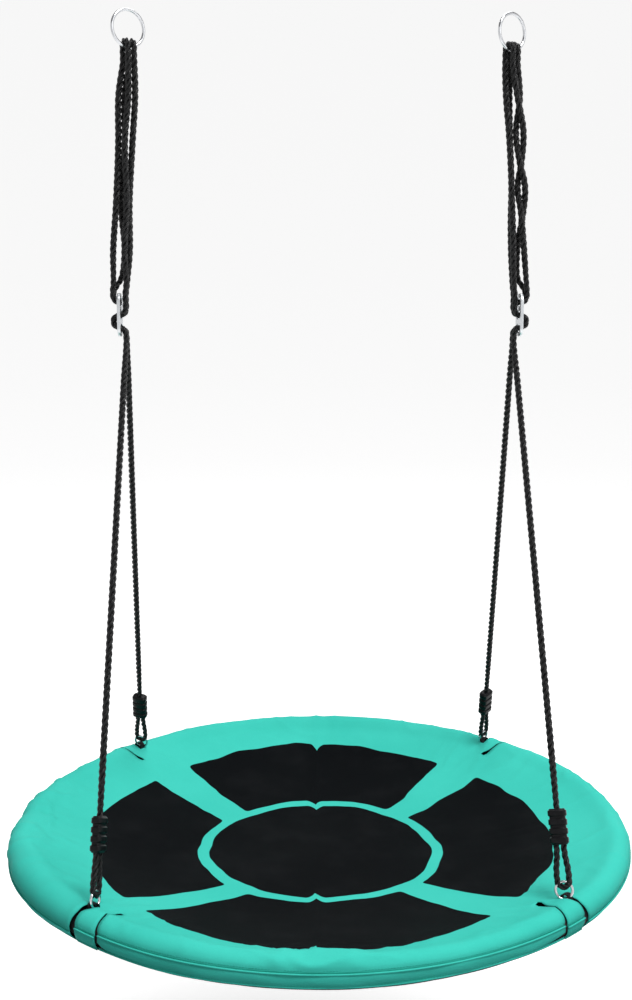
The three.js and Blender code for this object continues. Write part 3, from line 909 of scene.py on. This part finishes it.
def column_angle(k, bar_angle):
    """The hoop angle of a column of the cloth. Those beside a gap keep to its edges."""
    quarter = round((k * COLUMN - FIRST_HANG) / QUARTER) % 4
    hang = FIRST_HANG + quarter * QUARTER
    steps = k - round(hang / COLUMN)
    steps = (steps + COLUMNS // 2) % COLUMNS - COLUMNS // 2
    side = TAB_SIDES[quarter]
    natural = steps * COLUMN * HOOP_RADIUS * side
    gap, slit = gap_edges(bar_angle), slit_edges(bar_angle)
    unit = COLUMN * HOOP_RADIUS
    anchors = (
        (-WARP_END * unit, -WARP_END * unit),
        (-unit, gap[0]),
        (unit, gap[1]),
        (SLIT_COLUMN * unit, slit[0]),
        ((SLIT_COLUMN + 1) * unit, slit[1]),
        (WARP_END * unit, WARP_END * unit),
    )
    moved = natural
    for (a, to_a), (b, to_b) in zip(anchors, anchors[1:]):
        if a <= natural <= b:
            moved = to_a + (to_b - to_a) * (natural - a) / (b - a)
            break
    pull = ease(180 - bar_angle, 0, 16)
    moved = natural + (moved - natural) * pull
    return hang + side * moved / HOOP_RADIUS


def steps_from_hang(k):
    """Columns from the hang point to the middle of the face after column k, towards the tab."""
    middle = (k + 0.5) * COLUMN
    quarter = round((middle - FIRST_HANG) / QUARTER) % 4
    steps = (middle - FIRST_HANG - quarter * QUARTER) / COLUMN
    steps = (steps + COLUMNS / 2) % COLUMNS - COLUMNS / 2
    return steps * TAB_SIDES[quarter]


def is_open(k, bar_angle):
    """Whether the cloth after column k is cut away below this bar angle."""
    steps = steps_from_hang(k)
    if abs(steps) < 1:
        return bar_angle <= LOOP_FROM
    return abs(steps - SLIT_COLUMN - 0.5) < 0.1 and bar_angle <= SLIT_FROM


def deck_height(radius):
    return -DECK_DEPTH + DECK_RISE * (radius / DECK_RADIUS) ** DECK_CURVE


def deck_slope(radius):
    return DECK_CURVE * DECK_RISE / DECK_RADIUS * (radius / DECK_RADIUS) ** (DECK_CURVE - 1)


def bezier(p0, p1, p2, p3, t):
    s = 1 - t
    return p0 * s**3 + p1 * (3 * s * s * t) + p2 * (3 * s * t * t) + p3 * t**3


def on_skin(degrees, radius=SKIN_RADIUS):
    angle = math.radians(degrees)
    return Vector((HOOP_RADIUS + radius * math.cos(angle), radius * math.sin(angle)))


def top_profile():
    """Stations from the middle of the deck out over the bar: radius, height, bar angle.
    Before the cloth touches the bar its bar angle runs down from FLAT_ANGLE."""
    rings = 62
    stations = []
    for i in range(1, rings + 1):
        radius = ARC_START * (i / rings) ** 0.9
        stations.append((radius, deck_height(radius)))
    start = Vector((ARC_START, deck_height(ARC_START)))
    finish = on_skin(ARC_TOP)
    top = math.radians(ARC_TOP)
    lead = Vector((1, deck_slope(ARC_START))).normalized() * ARC_LEAD
    arrive = Vector((math.sin(top), -math.cos(top))) * ARC_LEAD
    for i in range(1, 7):
        point = bezier(start, start + lead, finish - arrive, finish, i / 6)
        stations.append((point.x, point.y))
    outer = finish.x
    stations = [
        (r, z, mix(FLAT_ANGLE, ARC_TOP, (r - DECK_EDGE) / (outer - DECK_EDGE))) for r, z in stations
    ]
    for degrees in range(ARC_TOP - ARC_STEP, SEAM_ANGLE - 1, -ARC_STEP):
        point = on_skin(degrees)
        stations.append((point.x, point.y, degrees))
    return stations


def from_hang(angle):
    """Signed angle to the nearest hang point."""
    return angle % QUARTER - QUARTER / 2


def settle_deck():
    """Cloth simulation of the deck, held at the bar: how far each spot of it moves."""
    cell = 0.0125
    reach = 36
    edge, held_from = 0.452, 0.437
    index, points = {}, []
    for i in range(-reach, reach + 1):
        for j in range(-reach, reach + 1):
            radius = math.hypot(i, j) * cell
            if radius <= edge:
                index[(i, j)] = len(points)
                points.append(Vector((i * cell, j * cell, deck_height(radius))))
    faces = []
    for i, j in index:
        ring = ((i, j), (i + 1, j), (i + 1, j + 1), (i, j + 1))
        if all(spot in index for spot in ring):
            faces.append(tuple(index[spot] for spot in ring))
    cloth = piece("deck_settling", points, faces, CLOTH_PLAIN)
    held = cloth.vertex_groups.new(name="held")
    outer = [n for n, p in enumerate(points) if math.hypot(p.x, p.y) > held_from]
    held.add(outer, 1.0, "REPLACE")
    settings = cloth.modifiers.new("cloth", "CLOTH").settings
    settings.quality = 6
    settings.mass = 0.08
    settings.tension_stiffness = 60
    settings.compression_stiffness = 30
    settings.shear_stiffness = 20
    settings.bending_stiffness = 0.3
    settings.vertex_group_mass = "held"
    settings.shrink_min = -0.0022
    scene = bpy.context.scene
    for number in range(1, 31):
        scene.frame_set(number)
    depsgraph = bpy.context.evaluated_depsgraph_get()
    result = cloth.evaluated_get(depsgraph).to_mesh()
    moved = {spot: result.vertices[n].co - points[n] for spot, n in index.items()}
    share = min(1.0, MOST_SETTLING / max(move.length for move in moved.values()))
    moved = {spot: move * share for spot, move in moved.items()}
    cloth.evaluated_get(depsgraph).to_mesh_clear()
    scene.frame_set(1)
    bpy.data.objects.remove(cloth)
    nothing = Vector((0, 0, 0))

    def at(x, y):
        u, v = x / cell, y / cell
        i, j = math.floor(u), math.floor(v)
        a, b = u - i, v - j
        low = moved.get((i, j), nothing).lerp(moved.get((i + 1, j), nothing), a)
        high = moved.get((i, j + 1), nothing).lerp(moved.get((i + 1, j + 1), nothing), a)
        return low.lerp(high, b)

    return at


SETTLED = settle_deck()


def ridged(point):
    """Sharp-crested folds from smooth noise."""
    return 1 - min(abs(noise.noise(point)) * 3.2, 1)


def turned(angle):
    """How many degrees round the bar the seams are rolled under, at a hoop angle."""
    nearest = math.floor((angle - FIRST_HANG) / QUARTER + 0.5)
    quarter = nearest % 4
    side = TAB_SIDES[quarter]
    away = (angle - FIRST_HANG - nearest * QUARTER) * HOOP_RADIUS * side
    ahead, behind = COVER_TURN[quarter], COVER_TURN[quarter - 1]
    if side < 0:
        ahead, behind = behind, ahead
    gap, slit = gap_edges(SEAM_ANGLE), slit_edges(SEAM_ANGLE)
    turn = behind + (TAB_TURN - behind) * ease(away, *gap)
    return turn + (ahead - TAB_TURN) * ease(away, *slit)


def rolled(bar_angle, angle):
    """Where cloth that belongs at a bar angle lies once the seams are rolled under."""
    share = min(ease(bar_angle, -154, -60), 1 - ease(bar_angle, 20, 100))
    return bar_angle - turned(angle) * share


def swell(angle, bar_angle):
    """How far the rim stands out of a round section, in metres."""
    amount = 0.0
    for middle, metres, reach in SWELLS:
        away = (angle - math.radians(middle) + math.pi) % TURN - math.pi
        amount += metres * bell(away * HOOP_RADIUS, reach)
    amount *= ease(bar_angle, -110, -10) * (1 - ease(bar_angle, 100, 160))
    behind = (angle - math.pi / 2 + math.pi) % TURN - math.pi
    hump = ease(bar_angle, 30, 80) * (1 - ease(bar_angle, 110, 150))
    return amount + BACK_RISE * bell(behind * HOOP_RADIUS, 0.34) * hump


def folds(angle, radius, bar_angle):
    """How far the cloth stands out of its smooth shape, in metres, from pulls and loose spots."""
    x, y = radius * math.cos(angle), radius * math.sin(angle)
    near_bar = ease(radius, 0.37, 0.45)
    around = Vector((math.cos(angle), math.sin(angle), 0))
    along = from_hang(angle) * HOOP_RADIUS
    loose = 0.5 + 0.5 * noise.noise(around * 1.7 + Vector((0, 0, 3.1)))
    left = bell(math.atan2(around.y, -around.x) * HOOP_RADIUS, 0.20)
    lift = noise.noise(Vector((x * 9, y * 9, 0.4))) * 0.0024 * near_bar
    radial = ridged(around * 5.5 + Vector((0, 0, 1.3 + radius * 2.4))) ** 3
    lift += radial * 0.0026 * loose * near_bar
    slanted = ridged(Vector((x * 11 + y * 7, y * 9 - x * 5, 7.7))) ** 4
    lift += slanted * (0.0016 + 0.0032 * left) * near_bar
    pull = bell(along, 0.085) * ease(radius, 0.33, 0.44)
    lift += pull * 0.0030 * ridged(Vector((along * 26, radius * 5, 5.0))) ** 2
    crease_x = 0.045 * y - 0.008
    lift += bell(x - crease_x, 0.006) * 0.0012 * ease(radius, 0.10, 0.30)
    front_loose = bell(x + 0.03, 0.10) * ease(-y, 0.36, 0.45)
    lift += front_loose * 0.0040 * ridged(Vector((x * 24, y * 30, 9.2))) ** 2
    crumple = noise.noise(Vector((x * 38, y * 33, 2.6)))
    crumple += noise.noise(Vector((x * 70, y * 62, 6.1))) * 0.4
    lift += crumple * 0.0042 * (left + 0.7 * front_loose) * ease(radius, 0.41, 0.45)
    groove = 0.0016 * bell(bar_angle - SEAM_ANGLE - 4, 5)
    lift *= ease(bar_angle, SEAM_ANGLE - 8, SEAM_ANGLE + 40)
    return lift - groove + swell(angle, bar_angle)


def skin_point(angle, radius, height, bar_angle, lift):
    """A point of the top cloth, pushed out of the smooth surface by lift."""
    if bar_angle >= ARC_TOP:
        lean = math.pi / 2 + min(math.atan(deck_slope(radius)), math.radians(ARC_TOP - 90))
    else:
        lean = math.radians(bar_angle)
    r = radius + math.cos(lean) * lift
    z = SEAT_Z + height + math.sin(lean) * lift
    point = Vector((r * math.cos(angle), r * math.sin(angle), z))
    if SETTLED and radius < 0.45:
        point += SETTLED(point.x, point.y) * (1 - ease(radius, 0.42, 0.45))
    return point


def top_cloth():
    stations = top_profile()
    points = [Vector((0, 0, SEAT_Z + deck_height(0)))]
    if SETTLED:
        points[0] += SETTLED(0, 0)
    flat = [(0.0, 0.0)]
    run = 0.0
    previous = Vector((0, deck_height(0)))
    for radius, height, bar_angle in stations:
        here = Vector((radius, height))
        run += (here - previous).length
        previous = here
        for k in range(COLUMNS):
            angle = column_angle(k, bar_angle)
            lift = folds(angle, radius, bar_angle)
            at, level = Vector((radius, height)), bar_angle
            if bar_angle < ARC_TOP:
                level = rolled(bar_angle, angle)
                at = on_skin(level)
            points.append(skin_point(angle, at.x, at.y, level, lift))
            flat.append((run * math.cos(angle), run * math.sin(angle)))
    faces = [(0, 1 + k, 1 + (k + 1) % COLUMNS) for k in range(COLUMNS)]

    def is_cut(n, k):
        return is_open(k, stations[n][2])

    faces += ring_faces(len(stations) - 1, COLUMNS, 1, is_cut)
    uv = [flat[corner] for face in faces for corner in face]
    return piece("seat_top_cloth", points, faces, CLOTH_TOP, "print", uv)


def bar_strip(
    name, degrees, angles, radius, material, closed=False, thick=0.0, bulge=0.0, raised=None
):
    """Cloth or foam round the bar: a strip over the given bar angles and hoop angles.
    raised gives the share of its height that the strip has lost from below at a hoop angle."""
    points, flat = [], []
    for n, level in enumerate(degrees):
        for angle in angles:
            bar_angle = level
            if raised:
                bar_angle = degrees[0] + (level - degrees[0]) * (1 - raised(angle))
            puff = bulge * noise.noise(Vector((angle * 11, bar_angle * 0.02, 2.2)))
            puff += swell(angle, bar_angle)
            if bulge:
                bar_angle = rolled(bar_angle, angle)
            at = on_skin(bar_angle, radius + (puff if bulge else 0))
            points.append(Vector((at.x * math.cos(angle), at.x * math.sin(angle), SEAT_Z + at.y)))
            flat.append((angle * HOOP_RADIUS, math.radians(bar_angle) * radius))
    width = len(angles)
    faces = []
    rows = len(degrees) if closed else len(degrees) - 1
    for n in range(rows):
        m = (n + 1) % len(degrees)
        for k in range(width - 1):
            a, b = n * width + k, m * width + k
            faces.append((a, b, b + 1, a + 1))
    layer = "weft" if material is WEBBING else "print"
    uv = [flat[corner] for face in faces for corner in face]
    obj = piece(name, points, faces, material, layer, uv)
    if thick:
        thicken(obj, thick)
    return obj


def span(start, end, step):
    count = max(2, math.ceil((end - start) / step))
    return [start + (end - start) * i / count for i in range(count + 1)]


top = top_cloth()
thicken(top, CLOTH_THICK)
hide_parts("seat_deck")
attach(top, "seat")

BAND_LOW = -32
BAND_ANGLES = [mix(SEAM_ANGLE - 2, BAND_LOW, i / 12) for i in range(13)]
BAND_RADIUS = 0.0224


def along_hoop(quarter, distance):
    """The hoop angle at a distance from a hang point, towards its tab."""
    return FIRST_HANG + quarter * QUARTER + TAB_SIDES[quarter] * distance / HOOP_RADIUS


def rim_sections():
    """The rim between its gaps, as (first angle, last angle, which): covers, then tabs."""
    gap, slit = gap_edges(SEAM_ANGLE), slit_edges(SEAM_ANGLE)
    for quarter in range(4):
        after = (quarter + 1) % 4
        start = along_hoop(quarter, slit[1] if TAB_SIDES[quarter] > 0 else gap[0])
        end = along_hoop(after, slit[1] if TAB_SIDES[after] < 0 else gap[0])
        end %= TURN
        yield start, end + (TURN if end < start else 0), quarter
    for quarter in range(4):
        ends = sorted((along_hoop(quarter, gap[1]), along_hoop(quarter, slit[0])))
        yield *ends, quarter


# The frayed ends: which corner, and how far along the hoop each reaches.
FRAYED = ((2, 0.010), (3, 0.026))
FRAY_SHARE = 0.55


def frayed_end(angle):
    """Beside a front slit the band rides up and shows the black beneath."""
    lost = 0.0
    for quarter, reach in FRAYED:
        edge = along_hoop(quarter, slit_edges(SEAM_ANGLE)[1])
        away = (angle - edge) * TAB_SIDES[quarter] * HOOP_RADIUS
        if -0.001 < away < 0.2:
            lost = max(lost, FRAY_SHARE * math.exp(-away / reach))
    return lost


COVER_NAMES = ("back", "left", "front", "right")
CORNER_NAMES = ("right_back", "left_back", "left_front", "right_front")
SECTIONS = list(rim_sections())


def rim_band(name, ends, bulge, node, raised=None):
    """The cloth of a cover or a tab outside its seam, from one gap to the next."""
    start, end = ends
    band = bar_strip(
        name,
        BAND_ANGLES,
        span(start, end, COLUMN),
        BAND_RADIUS,
        CLOTH_PLAIN,
        thick=CLOTH_THICK,
        bulge=bulge,
        raised=raised,
    )
    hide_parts(node)
    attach(band, "seat")
    (end - start) * (HOOP_RADIUS + BAND_RADIUS)


for *ends, quarter in SECTIONS[:4]:
    cover = f"rim_cover_{quarter + 1}"
    foam = f"rim_foam_{quarter + 1}"
    rim_band(f"rim_band_{COVER_NAMES[quarter]}", ends, 0.0016, cover, frayed_end)
for *ends, quarter in SECTIONS[4:]:
    corner = CORNER_NAMES[quarter]
    strap = f"{corner}_webbing_strap"
    rim_band(f"{corner}_tab_band", ends, 0.0006, f"{corner}_rim_tab")


# ---- underside ----
UNDER_FROM = -30
UNDER_TO = -154
UNDER_EDGE = 0.440
UNDER_BELOW = 0.0048
UNDER_INSET = 0.0004
# Beside a frayed end the underside is pulled up behind the band: degrees and metres.
TUCK_TURN = 56
TUCK_INSET = 0.0024
RIPPLE = 0.0012


def underside():
    angles = [column_angle(k, SEAM_ANGLE) for k in range(COLUMNS)]
    stations = []
    for i in range(15):
        bar_angle = UNDER_FROM + (UNDER_TO - UNDER_FROM) * i / 14
        at = on_skin(bar_angle)
        stations.append((at.x, at.y, bar_angle))
    start = Vector(stations[-1][:2])
    last = math.radians(UNDER_TO)
    finish = Vector((UNDER_EDGE, deck_height(UNDER_EDGE) - UNDER_BELOW))
    leave = Vector((math.sin(last), -math.cos(last))) * 0.004
    slope = Vector((1, 0.17)).normalized() * 0.006
    for i in range(1, 7):
        at = bezier(start, start + leave, finish + slope, finish, i / 6)
        stations.append((at.x, at.y, None))
    rings = 40
    for i in range(rings - 1, 0, -1):
        radius = UNDER_EDGE * (i / rings)
        stations.append((radius, deck_height(radius) - UNDER_BELOW, None))
    points = []
    for radius, height, bar_angle in stations:
        for angle in angles:
            out, up = radius, height
            if bar_angle is not None:
                tucked = frayed_end(angle) * (1 - ease(bar_angle, -30, -48))
                level = rolled(bar_angle, angle) + tucked * TUCK_TURN
                inset = UNDER_INSET + TUCK_INSET * min(tucked * 4, 1)
                at = on_skin(level, SKIN_RADIUS - inset + swell(angle, bar_angle))
                out, up = at.x, at.y
            x, y = out * math.cos(angle), out * math.sin(angle)
            ripple = noise.noise(Vector((x * 14, y * 14, 4.4))) * RIPPLE
            drop = 0.0
            if SETTLED and radius < 0.45:
                move = SETTLED(x, y)
                drop = min(0.0, move.z) * (1 - ease(radius, 0.42, 0.45))
            points.append(Vector((x, y, SEAT_Z + up + drop - abs(ripple))))

    def is_cut(n, k):
        return is_open(k, SEAM_ANGLE) and stations[n + 1][2] is not None

    faces = ring_faces(len(stations) - 1, COLUMNS, 0, is_cut)
    centre = len(points)
    sunk = SETTLED(0, 0).z if SETTLED else 0
    points.append(Vector((0, 0, SEAT_Z + deck_height(0) - UNDER_BELOW + sunk)))
    first = (len(stations) - 1) * COLUMNS
    faces += [(centre, first + (k + 1) % COLUMNS, first + k) for k in range(COLUMNS)]
    uv = [(points[corner].x, points[corner].y) for face in faces for corner in face]
    return piece("seat_underside", points, faces, CLOTH_UNDER, "print", uv)


under = underside()
thicken(under, 0.0010)
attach(under, "seat")


# ---- piping and stitching ----
PIPING_RADIUS = 0.0014


def hoop_wire(bar_angle, stand_off, start, end, radius, step=COLUMN, sides=8):
    """Points and faces of a thin tube that follows the hoop at one place on the bar."""
    points = []
    angles = span(start, end, step)
    for angle in angles:
        level = rolled(bar_angle, angle)
        at = on_skin(level, SKIN_RADIUS + stand_off + swell(angle, bar_angle))
        out = math.radians(level)
        radial = Vector((math.cos(angle), math.sin(angle), 0))
        middle = radial * at.x + Vector((0, 0, SEAT_Z + at.y))
        first = radial * math.cos(out) + Vector((0, 0, math.sin(out)))
        second = radial * -math.sin(out) + Vector((0, 0, math.cos(out)))
        for j in range(sides):
            turn = TURN * j / sides
            points.append(middle + (first * math.cos(turn) + second * math.sin(turn)) * radius)
    return points, tube_faces(len(angles), sides)


def gather(name, parts, material):
    points, faces = [], []
    for some_points, some_faces in parts:
        first = len(points)
        points += some_points
        faces += [tuple(first + corner for corner in face) for face in some_faces]
    uv = [(points[c].x + points[c].z, points[c].y) for face in faces for c in face]
    return piece(name, points, faces, material, "print", uv)


piping = [
    hoop_wire(seam, 0.0002, start, end, PIPING_RADIUS)
    for seam in (SEAM_ANGLE - 2, BAND_LOW)
    for start, end, _ in SECTIONS
]
edge = gather("rim_piping", piping, CLOTH_PLAIN)
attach(edge, "seat")

STITCH = 0.0042
STITCH_SHARE = 0.68


def stitch_row(bar_angle, stand_off):
    at = on_skin(bar_angle, SKIN_RADIUS)
    parts = []
    for start, end, _ in SECTIONS:
        count = int((end - start) * at.x / STITCH)
        for i in range(count):
            a = start + (end - start) * (i + 0.5 - STITCH_SHARE / 2) / count
            b = start + (end - start) * (i + 0.5 + STITCH_SHARE / 2) / count
            parts.append(hoop_wire(bar_angle, stand_off, a, b, 0.00033, step=1, sides=5))
    return parts


THREAD = cloth_paint("thread_turquoise", False, (0.045, 0.52, 0.43), (0.035, 0.42, 0.35))
rows = stitch_row(SEAM_ANGLE + 10, 0.0002) + stitch_row(BAND_LOW + 9, 0.0001)
thread = gather("rim_stitching", rows, THREAD)
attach(thread, "seat")


# ---- webbing straps under the tabs, and the loops that hold the links ----
def ear_loop(turn):
    """A narrow loop of webbing that comes up through the cloth round the link."""
    outline = ((17.6, -7.2), (24, -7.4), (28.2, -6.4), (30.2, -3.4), (30.6, 0))
    line = [Vector((a / 1000, b / 1000, 0)) for a, b in outline]
    line += [Vector((p.x, -p.y, 0)) for p in line[-2::-1]]
    line = spline(line, 0.0014)
    cos, sin = math.cos(EAR_ANGLE), math.sin(EAR_ANGLE)
    radial = Vector((math.cos(turn), math.sin(turn), 0))
    tangent = Vector((-math.sin(turn), math.cos(turn), 0))
    base = radial * HOOP_RADIUS + Vector((0, 0, SEAT_Z))
    points = []
    last = len(line) - 1
    half, wall = EAR_WIDTH / 2, EAR_WALL
    for i, spot in enumerate(line):
        step = (line[min(i + 1, last)] - line[max(i - 1, 0)]).normalized()
        side = Vector((step.y, -step.x, 0))
        for across, off in ((-half, -wall), (half, -wall), (half, wall), (-half, wall)):
            at = spot + side * off
            out = at.x * cos - at.y * sin
            up = at.x * sin + at.y * cos
            points.append(base + radial * out + Vector((0, 0, up)) + tangent * across)
    return points, tube_faces(len(line), 4)


FULL_TURN = [-360 * i / 48 for i in range(48)]
for side, end, sign, lane, _ in CORNERS:
    turn = math.atan2(lane, sign)
    half = WEBBING_HALF / HOOP_RADIUS
    strap = bar_strip(
        f"{side}_{end}_webbing_strap",
        FULL_TURN,
        span(turn - half, turn + half, 0.008),
        FOAM_RADIUS + 0.0018,
        WEBBING,
        closed=True,
        thick=WEBBING_THICK,
    )
    loop_points, loop_faces = ear_loop(turn)
    uv = [(loop_points[c].x + loop_points[c].y, loop_points[c].z) for f in loop_faces for c in f]
    loop = piece(f"{side}_{end}_webbing_loop", loop_points, loop_faces, WEBBING, "weft", uv)
    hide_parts(f"{side}_{end}_webbing")
    for part in (strap, loop):
        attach(part, "seat")


# ---- foam and steel inside the rim ----
FOAM_GAP = 0.002
FOAM_CLEARANCE = 0.0004
for number in range(4):
    start = number * QUARTER + FOAM_GAP
    foam = bar_strip(
        f"rim_foam_{number + 1}",
        FULL_TURN,
        span(start, start + QUARTER - 2 * FOAM_GAP, 0.02),
        FOAM_RADIUS,
        FOAM,
        closed=True,
        thick=FOAM_RADIUS - TUBE_RADIUS - FOAM_CLEARANCE,
    )
    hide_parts(f"foam_sleeve_{number + 1}")
    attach(foam, "seat")

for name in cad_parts:
    if name.startswith("frame_tube") or name.startswith("tube_spigot"):
        finish = TUBE_STEEL
    elif name.startswith("joint_screw"):
        finish = ZINC
    else:
        continue
    obj = bpy.data.objects[name]
    for slot in obj.material_slots:
        slot.material = finish


# ---- floor and light ----
def add_floor():
    """A pale floor that rises gently far away, so that no edge of it shows."""
    level = -1.78
    rings = ((3, 0), (6, 0), (9, 0.1), (12, 0.6), (15, 1.8), (18, 4.0), (21, 7.5), (23, 12))
    sides = 96
    points = [Vector((0, 0, level))]
    for radius, rise in rings:
        for k in range(sides):
            angle = TURN * k / sides
            x, y = radius * math.cos(angle), radius * math.sin(angle)
            points.append(Vector((x, y, level + rise)))
    faces = [(0, 1 + k, 1 + (k + 1) % sides) for k in range(sides)]
    faces += ring_faces(len(rings) - 1, sides, 1)
    paint = Paint("floor_pale", (0.90, 0.90, 0.90), 0.8, Specular_IOR_Level=0.1)
    paint.shader.inputs["Emission Color"].default_value = (1, 1, 1, 1)
    paint.shader.inputs["Emission Strength"].default_value = 0.66
    floor = piece("floor", points, faces, paint.material)
    floor.visible_diffuse = False


def add_light(name, location, target, size, power):
    data = bpy.data.lights.new(name, "AREA")
    data.shape = "DISK"
    data.size = size
    data.energy = power
    lamp = add_object(name, data)
    lamp.location = location
    lamp.rotation_euler = (Vector(target) - Vector(location)).to_track_quat("-Z", "Y").to_euler()


add_floor()
add_light("key", (0.9, -1.9, 3.0), (0, 0, -1.2), 1.6, 130)
add_light("fill", (2.6, -2.6, 0.9), (0, 0, -1.0), 2.4, 22)
add_light("top", (0.6, 1.4, 3.0), (0, 0, -1.2), 3.0, 75)
world = bpy.data.worlds.new("studio")
world.use_nodes = True
world.node_tree.nodes["Background"].inputs["Color"].default_value = (1, 1, 1, 1)
world.node_tree.nodes["Background"].inputs["Strength"].default_value = 0.29
bpy.context.scene.world = world
bpy.context.scene.view_settings.view_transform = "Standard"
